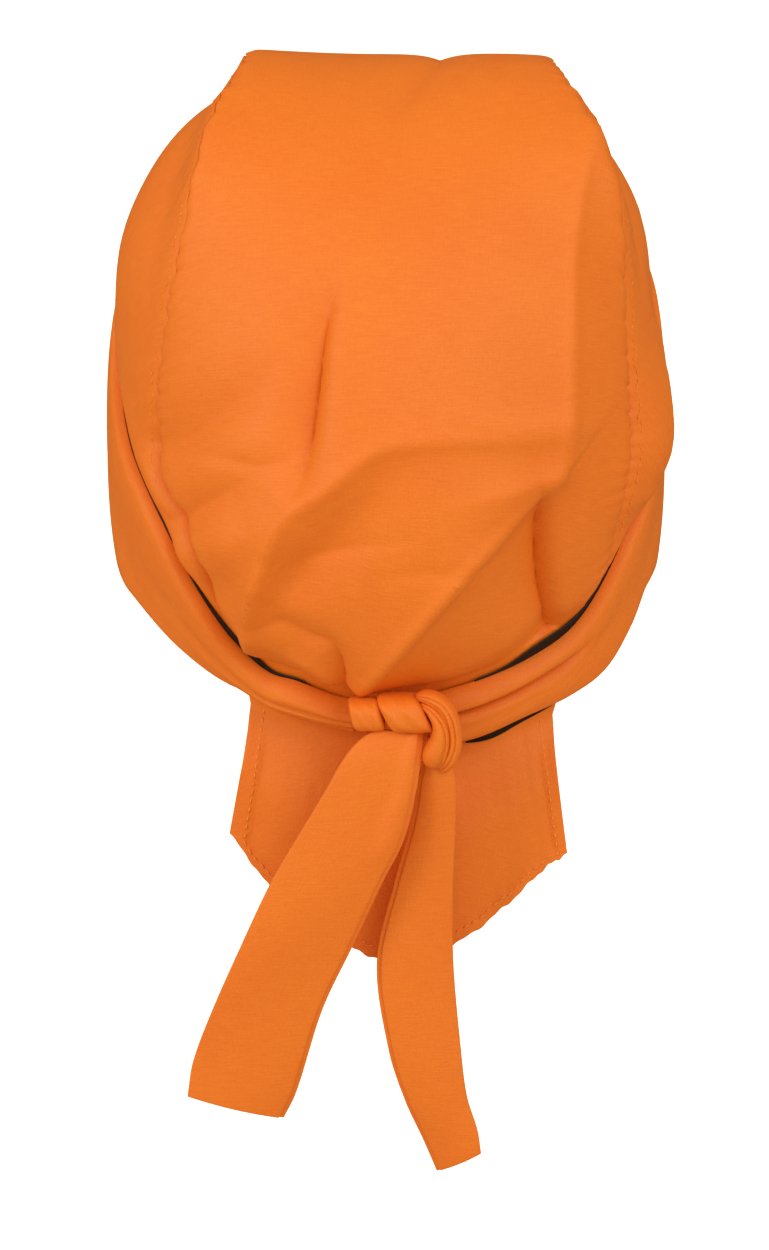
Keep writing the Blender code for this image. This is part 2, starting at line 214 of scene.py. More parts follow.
# Each fold: how crisp it is (1 is a crease, 2 a soft swell), then rows of its place across and up, its
# reach on its upper left and lower right sides as seen from behind, and its height, all in mm
FOLDS = {
    "right edge": (
        1.1,
        (-60, 138, 9, 9, 0.8),
        (-53, 125, 10, 10, 2.8),
        (-48, 103, 11, 11, 4.2),
        (-47, 84, 11, 12, 4.8),
        (-46, 60, 10, 11, 4.4),
        (-44, 47, 7, 8, 2.4),
    ),
    "knot crest": (
        1.05,
        (-43, 46, 12, 3, 2.0),
        (-29, 33, 15, 6, 5.0),
        (-13, 17, 16, 6.5, 7.6),
        (2, -3, 14, 6.5, 7.0),
        (10, -18, 8, 5, 3.6),
    ),
    "tuck": (
        1.15,
        (-39.5, 45, 4, 1.5, -1.2),
        (-41.5, 34, 10, 1.8, -7.2),
        (-43.5, 12, 11, 1.8, -7.6),
        (-46, -6, 7, 1.8, -4.0),
    ),
    "upper pull": (
        1.1,
        (-45, 60, 7, 3.5, 1.2),
        (-29, 62, 7, 3.5, 1.4),
        (-13, 68, 5, 4, 0.1),
    ),
    "crescent": (
        1.1,
        (-44, 57, 7, 3.0, 0.8),
        (-22, 59, 8, 3.0, 1.5),
        (-7, 59, 8, 3.4, 2.2),
        (4, 57, 7, 5, 2.8),
        (17, 46, 6, 7.5, 4.0),
        (28, 37, 7, 8, 4.6),
        (34, 21, 6, 7, 4.2),
        (37, 9, 4, 5, 2.0),
    ),
    "lower pull": (
        1.1,
        (-44, 47, 4, 4, 1.4),
        (-29, 44, 5, 4, 1.2),
        (-13, 40, 5, 4, 0.1),
    ),
    "left valley": (
        1.15,
        (9, 115, 6, 4, 0.0),
        (14, 102, 8, 3, -1.2),
        (17.5, 86, 10, 1.9, -5.0),
        (20, 66, 10, 1.9, -6.4),
        (22, 54, 9, 2.4, -4.6),
        (26, 42, 6, 3, -0.8),
    ),
    "left swelling": (
        2.0,
        (10, 96, 9, 14, 0.4),
        (12, 72, 8, 14, 1.6),
        (15, 54, 8, 10, 1.2),
    ),
    "upper valley": (
        1.5,
        (30, 82, 8, 5, -0.6),
        (43, 66, 8, 5, -3.2),
        (62, 50, 8, 6, -4.0),
    ),
    "lower valley": (
        1.4,
        (34, 51, 5, 5, -0.8),
        (50, 37, 5, 5, -3.2),
        (60, 28, 5, 5, -3.2),
    ),
    "left bulge": (
        2.0,
        (56, 20, 7, 8, 1.8),
        (45, 27, 8, 8, 3.2),
        (36, 32, 6, 7, 1.2),
    ),
    "middle hollow": (
        1.9,
        (2, 47, 7, 8, -1.2),
        (14, 33, 8, 9, -3.6),
        (25, 21, 7, 8, -3.8),
        (31, 13, 5, 5, -1.6),
    ),
    "tension line": (
        1.3,
        (63, 46, 3, 2, 0.0),
        (50, 51, 3, 2, -0.8),
        (34, 51, 3, 2, -0.9),
        (24, 55, 3, 2, 0.0),
    ),
    "second tension line": (
        1.3,
        (-12, 34, 3, 2, 0.0),
        (4, 31, 3, 2, -0.8),
        (20, 27, 3, 2, -0.7),
        (30, 22, 3, 2, 0.0),
    ),
    "third tension line": (
        1.3,
        (-36, 30, 3, 2, 0.0),
        (-22, 24, 3, 2, -0.7),
        (-6, 24, 3, 2, -0.7),
        (8, 20, 3, 2, 0.0),
    ),
    "side crest": (
        1.1,
        (-66, 98, 4, 4, 0.0),
        (-70, 82, 4, 4, 1.4),
        (-74, 68, 4, 4, 1.4),
        (-76, 62, 3, 3, 0.2),
    ),
    "left crease": (
        1.2,
        (33, 25, 3, 4, 0.4),
        (36.4, 13, 2.6, 5, 3.6),
        (38.4, -1, 2.6, 5, 4.4),
        (38.4, -12, 3, 4, 2.6),
    ),
    "pucker": (
        1.2,
        (36, 4, 3, 4, -0.8),
        (29, 6, 4, 4, -2.2),
        (22, 3, 4, 4, -2.6),
        (15, 1, 4, 3, -2.6),
        (12, -7, 4, 2.2, -3.8),
        (12, -18, 4, 2.2, -3.2),
    ),
    "ring": (
        1.5,
        (28, -6, 3, 3, 0.3),
        (22, -7, 3, 3, 1.2),
        (17, -11, 3, 3, 1.4),
        (14, -17, 3, 3, 0.8),
    ),
    "left swell": (
        2.0,
        (48, 148, 5, 5, 0.6),
        (54, 138, 9, 9, 4.6),
        (60, 127, 11, 11, 5.8),
        (68, 112, 12, 12, 6.4),
        (74, 94, 12, 12, 6.2),
        (77, 76, 9, 9, 2.6),
        (77, 60, 8, 8, 0.0),
    ),
    "right swell": (
        2.0,
        (-62, 128, 9, 10, 2.6),
        (-71, 104, 9, 10, 4.8),
        (-75, 78, 8, 8, -1.6),
        (-74, 58, 8, 9, 4.2),
        (-72, 44, 8, 8, 6.8),
        (-70, 34, 7, 7, 4.2),
    ),
}
FOLD_SAMPLES = 20
PINCH = 0.12
PINCH_REACH = 1.7
PINCHED = 1.12

# A small crease that runs over the top of the crown, from the front to a little way down the back
NOTCH_AT = -14.5 * MM
NOTCH_REACH = 4.5 * MM
NOTCH_DEPTH = 2.0 * MM
NOTCH_SLANT = 0.35
NOTCH_CRISP = 1.2
NOTCH_BACK = (62, 80)
NOTCH_FRONT = (150, 120)

SEAM_WANDER = 0.3
SEAM_WANDER_FROM = (5, 20)
SEAM_DIP_REACH = 1.3 * MM
SEAM_DIP_CRISP = 1.1
PUCKER = 0.32 * MM
PUCKER_REACH = 3.5 * MM
PUCKER_PITCH = 6.5 * MM
PUCKER_SIDE_SHARE = 0.4
LONG_BEAT = 2.3
SHORT_BEAT = 0.43
SHORT_BEAT_SHARE = 0.6

HALVINGS = 40
STEEPEST = 80
PROBE = 0.5 * MM
MERGE_DISTANCE = 0.01 * MM
TURNED_EDGE_ANGLE = math.radians(50)

PANEL_WALL = 1.0 * MM
PANEL_STAND_OFF = 0.4 * MM
PANEL_COLUMNS = 148
PANEL_ROWS = 300
HEM_ROLL = 0.3 * MM


def curve(rows, at):
    """A table's columns at values of its first column, on a smooth curve through its rows."""
    table = np.array(rows, float)
    keys = table[:, 0]
    at = np.clip(at, keys[0], keys[-1])
    i = np.clip(np.searchsorted(keys, at, side="right") - 1, 0, len(keys) - 2)
    before = np.maximum(i - 1, 0)
    after = np.minimum(i + 2, len(keys) - 1)
    step = keys[i + 1] - keys[i]
    t = ((at - keys[i]) / step)[..., None]
    slope_b = (table[i + 1] - table[before]) * (step / (keys[i + 1] - keys[before]))[..., None]
    slope_c = (table[after] - table[i]) * (step / (keys[after] - keys[i]))[..., None]
    values = (2 * t**3 - 3 * t**2 + 1) * table[i] + (t**3 - 2 * t**2 + t) * slope_b
    values += (3 * t**2 - 2 * t**3) * table[i + 1] + (t**3 - t**2) * slope_c
    return np.moveaxis(values[..., 1:], -1, 0)


def smoothstep(low, high, at):
    t = np.clip((at - low) / (high - low), 0, 1)
    return t * t * (3 - 2 * t)


def mix(a, b, t):
    return a + (b - a) * t


def unit(vectors):
    return vectors / np.linalg.norm(vectors, axis=-1, keepdims=True)


def half_width(side):
    return np.where(side > 0, HALF_WIDTH_LEFT, HALF_WIDTH_RIGHT)


def seam_across(angle, side):
    left, right = curve(SEAMS, angle)
    wander = np.sin(angle * 0.83 + side) + 0.7 * np.sin(angle * 1.7 + 2 * side)
    wander = wander * SEAM_WANDER * smoothstep(*SEAM_WANDER_FROM, angle)
    return (np.where(side > 0, left, right) + wander) * MM


def crown_surface(angle, across):
    """The cap's inside at angles over the crown and distances across it, its seams standing up."""
    side = np.where(across >= 0, 1, -1)
    radius, square, corner = curve(PROFILE, angle)
    wide = half_width(side)
    seam = seam_across(angle, side)
    distance = np.minimum(abs(across), wide * WIDEST)
    share = (1 - (distance / wide) ** square) ** (1 / square)
    seam_share = (1 - (seam / wide) ** square) ** (1 / square)
    height = np.where(side > 0, CORNER_HEIGHT_LEFT, CORNER_HEIGHT_RIGHT)
    lift = corner * np.maximum(height - seam_share, 0)
    fade = np.minimum(CORNER_FADE, (wide - seam) * CORNER_REACH)
    inside = np.minimum(distance / seam, 1) ** CORNER_SWEEP
    outside = np.clip(1 - (distance - seam) / fade, 0, 1) ** 2
    share = share + lift * np.where(distance < seam, inside, outside)
    turn = np.radians(angle)
    reach = share * radius * MM
    place = np.stack([side * distance, reach * np.cos(turn), reach * np.sin(turn)], axis=-1)
    return CENTRE + place


def azimuth_of(points):
    return np.degrees(np.arctan2(points[..., 0], points[..., 1]))


def band_edges(azimuth):
    low, top, bulge = curve(BAND, (azimuth + 10) % 360 - 10)
    return low * MM, top * MM, bulge * MM


def fold_height(x, z):
    """How far the folds lift the cloth at places seen from behind."""
    total = np.zeros(x.shape)
    for crisp, *rows in FOLDS.values():
        ordered = [(i, *row) for i, row in enumerate(rows)]
        path = curve(ordered, np.linspace(0, len(rows) - 1, FOLD_SAMPLES)).T
        nearest = np.full(x.shape, np.inf)
        lift = np.zeros(x.shape)
        downward = rows[-1][1] < rows[0][1]
        for a, b in zip(path, path[1:]):
            run = b[:2] - a[:2]
            off_x, off_z = x / MM - a[0], z / MM - a[1]
            t = np.clip((off_x * run[0] + off_z * run[1]) / (run @ run), 0, 1)
            gap = np.hypot(off_x - run[0] * t, off_z - run[1] * t)
            first_side = (run[0] * off_z - run[1] * off_x > 0) == downward
            reach = np.where(first_side, mix(a[2], b[2], t), mix(a[3], b[3], t))
            pinch = PINCH * (crisp < PINCHED) * np.exp(-((gap / PINCH_REACH) ** 2))
            here = mix(a[4], b[4], t) * (np.exp(-((gap / reach) ** crisp)) + pinch)
            closer = gap < nearest
            nearest = np.where(closer, gap, nearest)
            lift = np.where(closer, here, lift)
        total += lift
    return total * MM


def panel_surface(angle, across):
    """The panels' inside: the cap's surface, swelling out above the band, folded, and drawn in at the
    seams."""
    point = crown_surface(angle, across)
    azimuth = azimuth_of(point)
    above = point[..., 2] - band_edges(azimuth)[1]
    start = curve(PUFF_START, (azimuth + 10) % 360 - 10)[0] * MM
    free = smoothstep(0, PUFF_RISE, above - start)
    folds = fold_height(point[..., 0], point[..., 2]) * smoothstep(FOLD_START, FOLD_START + FOLD_RISE, above)
    lift = PUFF * free + folds * smoothstep(-FOLD_END, FOLD_END, point[..., 1])
    notch_x = point[..., 0] - NOTCH_AT - NOTCH_SLANT * np.maximum(point[..., 1], 0)
    notch = abs(notch_x / NOTCH_REACH) ** NOTCH_CRISP
    lift -= NOTCH_DEPTH * np.exp(-notch) * smoothstep(*NOTCH_BACK, angle) * smoothstep(*NOTCH_FRONT, angle)
    side = np.where(across >= 0, 1, -1)
    from_seam = abs(across) - seam_across(angle, side)
    dip_left, dip_right = curve(SEAM_DIP, angle)
    dip = np.where(side > 0, dip_left, dip_right) * MM
    lift -= dip * np.exp(-(abs(from_seam / SEAM_DIP_REACH) ** SEAM_DIP_CRISP)) * free
    along = np.radians(angle) * curve(PROFILE, angle)[0] * MM
    beat = np.sin(2 * np.pi * along / PUCKER_PITCH + side)
    beat = beat * np.sin(along / (LONG_BEAT * PUCKER_PITCH) + 2 * side)
    beat += SHORT_BEAT_SHARE * np.sin(2 * np.pi * along / (SHORT_BEAT * PUCKER_PITCH))
    reach = np.where(from_seam > 0, PUCKER_SIDE_SHARE, 1.0) * PUCKER_REACH
    lift += PUCKER * beat * np.exp(-abs(from_seam) / reach) * free
    return point + unit(point - CENTRE) * lift[..., None]


def reach_along(outward):
    """How far the cap's inside lies from its centre along unit vectors, without the seams' corners."""
    plane_angle = (np.degrees(np.arctan2(outward[..., 2], outward[..., 1])) + 90) % 360 - 90
    radius, square, _ = curve(PROFILE, plane_angle)
    across = abs(outward[..., 0]) / half_width(outward[..., 0])
    plane = np.hypot(outward[..., 1], outward[..., 2]) / (radius * MM)
    return (across**square + plane**square) ** (-1 / square)


def skin_at(azimuth, z):
    """The cap's inside at azimuths and heights, and the way out from it."""
    azimuth, z = np.broadcast_arrays(azimuth, z)
    turn = np.radians(azimuth)
    low = np.full(z.shape, math.radians(-STEEPEST))
    high = np.full(z.shape, math.radians(STEEPEST))

    def way(rise):
        flat = np.cos(rise)
        return np.stack([np.sin(turn) * flat, np.cos(turn) * flat, np.sin(rise)], axis=-1)

    for _ in range(HALVINGS):
        rise = (low + high) / 2
        outward = way(rise)
        under = CENTRE[2] + reach_along(outward) * outward[..., 2] < z
        low = np.where(under, rise, low)
        high = np.where(under, high, rise)
    point = CENTRE + outward * reach_along(outward)[..., None]
    slopes = []
    for step in np.eye(3) * PROBE:
        ahead, behind = point + step - CENTRE, point - step - CENTRE
        excess = [np.linalg.norm(v, axis=-1) - reach_along(unit(v)) for v in (ahead, behind)]
        slopes.append(excess[0] - excess[1])
    return point, unit(np.stack(slopes, axis=-1))


def centre_panel(u, v):
    """The panel's inside from left (u 0) to right, and from the tail's hem (v 0) to the forehead."""
    crown_v = np.clip((v - TAIL_SHARE) / (1 - TAIL_SHARE), 0, 1)
    angle = curve(ROW_ANGLES, crown_v)[0]
    left = seam_across(angle, 1) - SEAM_GAP
    right = SEAM_GAP - seam_across(angle, -1)
    crown = panel_surface(angle, mix(left, right, u))
    neck_t = np.clip((TAIL_SHARE - v) / NECK_SHARE, 0, 1)
    neck_azimuth = mix(NECK_LEFT, NECK_RIGHT, u)
    neck_z = band_edges(neck_azimuth)[0] - NECK_DROP
    bridge, _ = skin_at(
        mix(azimuth_of(crown), neck_azimuth, neck_t), mix(crown[..., 2], neck_z, neck_t)
    )
    neck, _ = skin_at(neck_azimuth, neck_z)
    hem_x, hem_z = curve(TAIL_HEM, u)
    hem_z = hem_z + HEM_WAVE * (np.sin(HEM_WAVES * u) + 0.6 * np.sin(2.3 * HEM_WAVES * u))
    t = np.clip(1 - v / (TAIL_SHARE - NECK_SHARE), 0, 1)
    x = mix(neck[..., 0], hem_x * MM, t)
    z = mix(neck[..., 2], hem_z * MM, t)
    hang = TAIL_DEPTH - TAIL_BOW * (x / TAIL_HALF_WIDTH) ** 2 + tail_wave(x, z) * t
    y = mix(neck[..., 1], hang, smoothstep(0, TAIL_SETTLED, t))
    tail = np.stack([x, y + hem_lift(u, t, x), z], axis=-1)
    on_crown = (v >= TAIL_SHARE)[..., None]
    on_neck = (v >= TAIL_SHARE - NECK_SHARE)[..., None]
    return np.where(on_crown, crown, np.where(on_neck, bridge, tail))


def from_hem(u, t):
    """How far places on the tail lie from its nearest edge."""
    from_side = np.minimum(u, 1 - u) * 2 * TAIL_HALF_WIDTH
    return np.minimum(from_side, (1 - t) * TAIL_DROP)


def hem_lift(u, t, x):
    """The tail's turned hem is thicker than the rest, and its stitches draw it up a little."""
    edge = from_hem(u, t)
    thick = HEM_THICK * smoothstep(HEM_WIDE + HEM_EASE[0], HEM_WIDE - HEM_EASE[1], edge)
    ripple = HEM_RIPPLE * np.sin(x / HEM_RIPPLE_LENGTH) * np.exp(-edge / HEM_WIDE)
    return (thick + ripple) * smoothstep(*HEM_LIFT_FROM, t)


def tail_wave(x, z):
    """The tail's soft upright waves."""
    wave = 1.1 * np.sin(x / (11 * MM) + 0.8) + 0.6 * np.sin(x / (6.3 * MM) + z / (25 * MM))
    return wave * MM


def cloth_grid(columns, rows):
    return np.meshgrid(np.linspace(0, 1, columns + 1), np.linspace(0, 1, rows + 1))


def cloth_lengths(points, axis):
    """How far along the cloth each point lies, in millimetres, from its grid's middle line."""
    steps = np.linalg.norm(np.diff(points, axis=axis), axis=-1)
    run = np.insert(np.cumsum(steps, axis=axis), 0, 0, axis=axis)
    middle = np.take(run, [run.shape[axis] // 2], axis=axis)
    return (run - middle) / MM


def grid_mesh(name, points, closed=False):
    """A mesh of a grid of points, with a UV map in millimetres of cloth. A closed grid's last column is
    its first one again."""
    rows, columns = points.shape[:2]
    index = np.arange(rows * columns).reshape(rows, columns)
    corners = [index[:-1, :-1], index[:-1, 1:], index[1:, 1:], index[1:, :-1]]
    faces = np.stack(corners, axis=-1).reshape(-1, 4)
    mesh = bpy.data.meshes.new(name)
    mesh.from_pydata(points.reshape(-1, 3).tolist(), [], faces.tolist())
    cloth = np.stack([cloth_lengths(points, 1), cloth_lengths(points, 0)], axis=-1).reshape(-1, 2)
    layer = mesh.uv_layers.new(name="cloth")
    layer.data.foreach_set("uv", cloth[faces.reshape(-1)].astype(np.float32).ravel())
    if closed:
        bm = bmesh.new()
        bm.from_mesh(mesh)
        bmesh.ops.remove_doubles(bm, verts=bm.verts, dist=MERGE_DISTANCE)
        bmesh.ops.recalc_face_normals(bm, faces=bm.faces)
        bm.to_mesh(mesh)
        bm.free()
    mesh.shade_smooth()
    return mesh


def piece_from(mesh, material):
    piece = bpy.data.objects.new(mesh.name, mesh)
    bpy.context.scene.collection.objects.link(piece)
    mesh.materials.clear()
    mesh.materials.append(material)
    return piece


def cloth_piece(name, points, material, wall, offset=1.0, roll=HEM_ROLL):
    """A piece of cloth from a grid: its wall, and its edges rolled a little as a turned hem is."""
    piece = piece_from(grid_mesh(name, points), material)
    solidify = piece.modifiers.new("wall", "SOLIDIFY")
    solidify.thickness = wall
    solidify.offset = offset
    bevel = piece.modifiers.new("turned edge", "BEVEL")
    bevel.width = roll
    bevel.segments = 2
    bevel.limit_method = "ANGLE"
    bevel.angle_limit = TURNED_EDGE_ANGLE
    return piece


COTTON_ROUGHNESS = 0.6
COTTON_SPECULAR = 0.6
BUMP_STRENGTH = 0.35
BUMP_DISTANCE = 0.25 * MM
WEFT_STRETCH = (0.16, 2.2, 1)
WARP_STRETCH = (1.9, 0.3, 1)
GRAIN_SCALE = 1.6
MOTTLE_SCALE = 38.0


class Shade:
    """A value in a material's nodes, so that shader maths reads as plain expressions."""

    def __init__(self, tree, socket=None):
        self.tree = tree
        self.socket = socket

    def node(self, kind, inputs=None, output=0, **settings):
        made = self.tree.nodes.new(kind)
        for name, value in settings.items():
            setattr(made, name, value)
        for key, value in (inputs or {}).items():
            self.join(made.inputs[key], value)
        return Shade(self.tree, made.outputs[output])

    def join(self, socket, value):
        if isinstance(value, Shade):
            self.tree.links.new(value.socket, socket)
        else:
            socket.default_value = value

    def math(self, operation, first, second=0.0):
        return self.node("ShaderNodeMath", {0: first, 1: second}, operation=operation)

    def sine(self):
        return self.math("SINE", self)

    def noise(self, scale, stretch=(1, 1, 1), detail=2.0):
        """Noise over these coordinates, about nought."""
        place = self.node("ShaderNodeMapping", {"Vector": self, "Scale": stretch})
        return self.node("ShaderNodeTexNoise", {"Vector": place, "Scale": scale, "Detail": detail}) - 0.5

    def __add__(self, other):
        return self.math("ADD", self, other)

    def __radd__(self, other):
        return self.math("ADD", other, self)

    def __sub__(self, other):
        return self.math("SUBTRACT", self, other)

    def __mul__(self, other):
        return self.math("MULTIPLY", self, other)


def cotton(name, light, deep, along_cloth=True):
    """Plain-weave cotton: fine crossing threads, and thicker slubs along the weft."""
    material = bpy.data.materials.new(name)
    material.use_nodes = True
    tree = material.node_tree
    shader = tree.nodes["Principled BSDF"]
    start = Shade(tree)
    place = start.node("ShaderNodeTexCoord", output="Object")
    if along_cloth:
        cloth = start.node("ShaderNodeUVMap", uv_map="cloth")
    else:
        cloth = start.node("ShaderNodeMapping", {"Vector": place, "Scale": (1 / MM, 1 / MM, 1 / MM)})
    across = start.node("ShaderNodeSeparateXYZ", {0: cloth}, output="X")
    along = start.node("ShaderNodeSeparateXYZ", {0: cloth}, output="Y")
    weave = (across * THREADS_PER_MM).sine() * (along * THREADS_PER_MM).sine()
    weft = cloth.noise(1.0, WEFT_STRETCH, 4.0)
    warp = cloth.noise(1.0, WARP_STRETCH, 3.0)
    grain = cloth.noise(GRAIN_SCALE, detail=3.0)
    mottle = place.noise(MOTTLE_SCALE, detail=3.0)
    tone = 0.5 + weft * 1.1 + warp * 0.5 + grain * 0.9 + mottle * 0.5
    colour = start.node(
        "ShaderNodeMix",
        {"Factor": tone, 6: deep, 7: light},
        output=2,
        data_type="RGBA",
        clamp_factor=True,
    )
    colour.join(shader.inputs["Base Color"], colour)
    height = weave * 0.3 + weft * 1.2 + warp * 0.7 + grain * 0.9
    relief = {"Strength": BUMP_STRENGTH, "Distance": BUMP_DISTANCE, "Height": height}
    bump = start.node("ShaderNodeBump", relief)
    bump.join(shader.inputs["Normal"], bump)
    shader.inputs["Roughness"].default_value = COTTON_ROUGHNESS
    shader.inputs["Specular IOR Level"].default_value = COTTON_SPECULAR
    return material


THREADS_PER_MM = 2 * math.pi / 0.55
ORANGE = (0.85, 0.225, 0.012, 1.0)
DEEP_ORANGE = (0.76, 0.145, 0.003, 1.0)
orange_cotton = cotton("orange cotton", ORANGE, DEEP_ORANGE)

u, v = cloth_grid(PANEL_COLUMNS, PANEL_ROWS)
inside = centre_panel(u, v)
panel = cloth_piece(
    "centre_panel_cloth",
    inside + unit(inside - CENTRE) * PANEL_STAND_OFF,
    orange_cotton,
    PANEL_WALL,
)
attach(panel, "root")
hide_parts("centre_panel")

# Side panels: the two crown sides, of the same cotton, each sewn to the centre panel along a puckered seam
# and to the band along its lower edge, which is tucked under the band.

HEM_TUCK = 7 * MM
HEM_LEAST = 2.5 * MM
SIDE_COLUMNS = 56
SIDE_ROWS = 200


def hem_across(angle, side):
    """Where a side panel's lower edge lies: below the band's upper edge by the tuck."""
    near = seam_across(angle, side) - SEAM_GAP
    far = half_width(side) * WIDEST * np.ones(angle.shape)
    for _ in range(HALVINGS):
        middle = (near + far) / 2
        point = crown_surface(angle, side * middle)
        free = point[..., 2] > band_edges(azimuth_of(point))[1] - HEM_TUCK
        near = np.where(free, middle, near)
        far = np.where(free, far, middle)
    return near


def side_panel(side, u, v):
    """The left (side 1) or right (side -1) panel's inside, from its seam to its lower edge."""
    angle = curve(ROW_ANGLES, v)[0]
    seam = seam_across(angle, side) + SEAM_GAP
    hem = np.maximum(hem_across(angle, side), seam + HEM_LEAST)
    square = curve(PROFILE, angle)[1]
    wide = half_width(side)
    turn_seam = np.arcsin((seam / wide) ** (square / 2))
    turn_hem = np.arcsin((hem / wide) ** (square / 2))
    share = 1 - u if side > 0 else u
    across = wide * np.sin(mix(turn_seam, turn_hem, share)) ** (2 / square)
    return panel_surface(angle, side * across)


u, v = cloth_grid(SIDE_COLUMNS, SIDE_ROWS)
for name, side in (("side_panel_left", 1), ("side_panel_right", -1)):
    inside = side_panel(side, u, v)
    panel = cloth_piece(
        name + "_cloth",
        inside + unit(inside - CENTRE) * PANEL_STAND_OFF,
        orange_cotton,
        PANEL_WALL,
    )
    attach(panel, "root")
    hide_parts(name)

# Facing: a narrow strip of black cloth sewn inside the band to line it. It shows as a thin black line
# above the band on both sides, and under it as a short black sliver right of the knot.

FACING_CLEARANCE = 0.45 * MM
FACING_WALL = 0.6 * MM
CAD_PANEL_WALL = 1.4 * MM
BACK_SPAN = 90
BACK_SHARE = 0.32
FACING_COLUMNS = 420
FACING_ROWS = 12
BLACK = (0.016, 0.015, 0.015, 1.0)
DEEP_BLACK = (0.006, 0.006, 0.006, 1.0)
black_cotton = cotton("black facing", BLACK, DEEP_BLACK)

# Azimuth in degrees, how far the facing shows below and above the band in mm
FACING = (
    (19, 0.3, 0.3),
    (27, 1.1, 0.8),
    (32, 1.5, 3.0),
    (40, 1.5, 1.0),
    (52, 0.8, 0.4),
    (90, 0.2, 0.2),
    (270, 0.2, 0.2),
    (308, 0.2, 0.4),
    (314, 0.6, 1.6),
    (321, 1.7, 3.2),
    (328, 2.6, 3.2),
    (334, 3.2, 0.9),
    (341, 1.7, 0.3),
)


def azimuth_along(u, right_end, left_end):
    """Columns lie closer together at the back, where the band's edges are steep."""
    shares = (0.0, BACK_SHARE, 1 - BACK_SHARE, 1.0)
    return np.interp(u, shares, (right_end, 360 - BACK_SPAN, BACK_SPAN, left_end))


u, v = cloth_grid(FACING_COLUMNS, FACING_ROWS)
azimuth = azimuth_along(u, FACING[-1][0], FACING[0][0])
low, top, _ = band_edges(azimuth)
show_below, show_above = curve(FACING, azimuth)
point, outward = skin_at(azimuth, mix(low - show_below * MM, top + show_above * MM, v))
facing = cloth_piece(
    "facing_cloth",
    point + outward * (CAD_PANEL_WALL + FACING_CLEARANCE),
    black_cotton,
    FACING_WALL,
)
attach(facing, "root")
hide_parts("facing")

# Headband: a bias strip of the orange cotton, folded lengthwise so that both its edges are soft rolls.
# It goes round the forehead and over the ears, and narrows to a bundle at each side of the knot.

# Azimuths in degrees where the band's cloth stops, about 2 mm short of the knot
LEFT_END = 8.4
RIGHT_END = 350.6

SPLIT_FROM = 312
SPLIT_FADE = 12
SPLIT_AT = 0.66
SPLIT_WIDTH = 0.055
SPLIT_DEPTH = 6.0 * MM
SPLIT_CRISP = 1.1
BAND_STAND_OFF = CAD_PANEL_WALL + FACING_CLEARANCE + FACING_WALL + 0.2 * MM
BAND_WALL = 2.9 * MM
BAND_CLOTH = 0.7 * MM
BAND_ROLL = 2.2 * MM
BAND_COLUMNS = 460
BAND_ROWS = 26
GATHER_FADE = 22
GATHER_DEPTH = 0.7 * MM
LEFT_CREASE_AT = 0.42
LEFT_CREASE_WIDTH = 0.07
LEFT_CREASE_DEPTH = 0.5 * MM
LEFT_CREASE_FADE = (75, 45)
LEFT_CREASE_END_FADE = 12
GATHER_COUNT = 3
GATHER_TURN = 9
EDGE_CROWDING = 0.8


def headband(u, v):
    """The band's outer face, with its two rolled edges, from its right end round to its left one."""
    azimuth = azimuth_along(u, RIGHT_END, LEFT_END)
    low, top, bulge = band_edges(azimuth)
    share = mix(v, 0.5 - 0.5 * np.cos(np.pi * v), EDGE_CROWDING)
    point, outward = skin_at(azimuth, mix(low, top, share))
    lift = bulge * (1 - (2 * share - 1) ** 4)
    split = smoothstep(SPLIT_FROM, SPLIT_FROM + SPLIT_FADE, azimuth) * SPLIT_DEPTH
    lift -= split * np.exp(-(abs((share - SPLIT_AT) / SPLIT_WIDTH) ** SPLIT_CRISP))
    crease = smoothstep(*LEFT_CREASE_FADE, azimuth)
    crease = crease * smoothstep(LEFT_END, LEFT_END + LEFT_CREASE_END_FADE, azimuth)
    lift -= crease * LEFT_CREASE_DEPTH * np.exp(-(((share - LEFT_CREASE_AT) / LEFT_CREASE_WIDTH) ** 2))
    from_knot = np.minimum(abs(azimuth - LEFT_END), abs(RIGHT_END - azimuth))
    gather = GATHER_DEPTH * np.exp(-from_knot / GATHER_FADE)
    lift -= gather * (0.5 + 0.5 * np.cos(share * 2 * GATHER_COUNT * np.pi + azimuth / GATHER_TURN))
    edge = np.minimum(share, 1 - share) * (top - low)
    roll = np.sqrt(1 - np.clip(1 - edge / BAND_ROLL, 0, 1) ** 2)
    return point + outward * (BAND_STAND_OFF + lift + BAND_WALL * roll)[..., None]


u, v = cloth_grid(BAND_COLUMNS, BAND_ROWS)
band = cloth_piece("headband_cloth", headband(u, v), orange_cotton, BAND_CLOTH, offset=-1.0, roll=0.2 * MM)
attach(band, "root")
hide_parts("headband")

# Knot wraps: the left end's two flat turns round the bundle, the second one lying over the first.

TURN_SQUARE = 2.6
TURN_ENDS = 7
TURN_COLUMNS = 72
TURN_ROWS = 40

# Name, middle across, height and depth, half width, half height, half depth, in mm, and lean
TURNS = (
    ("first turn", 6.6, -23.2, 82.4, 4.6, 4.5, 6.2, 0.22),
    ("second turn", -4.4, -22.7, 82.6, 6.2, 5.3, 7.6, 0.5),
)
TURN_WRINKLE = 0.32


def super_wave(turn, square):
    """Cosine and sine on a circle squared off to a superellipse."""
    c, s = np.cos(turn), np.sin(turn)
    return np.sign(c) * abs(c) ** (2 / square), np.sign(s) * abs(s) ** (2 / square)


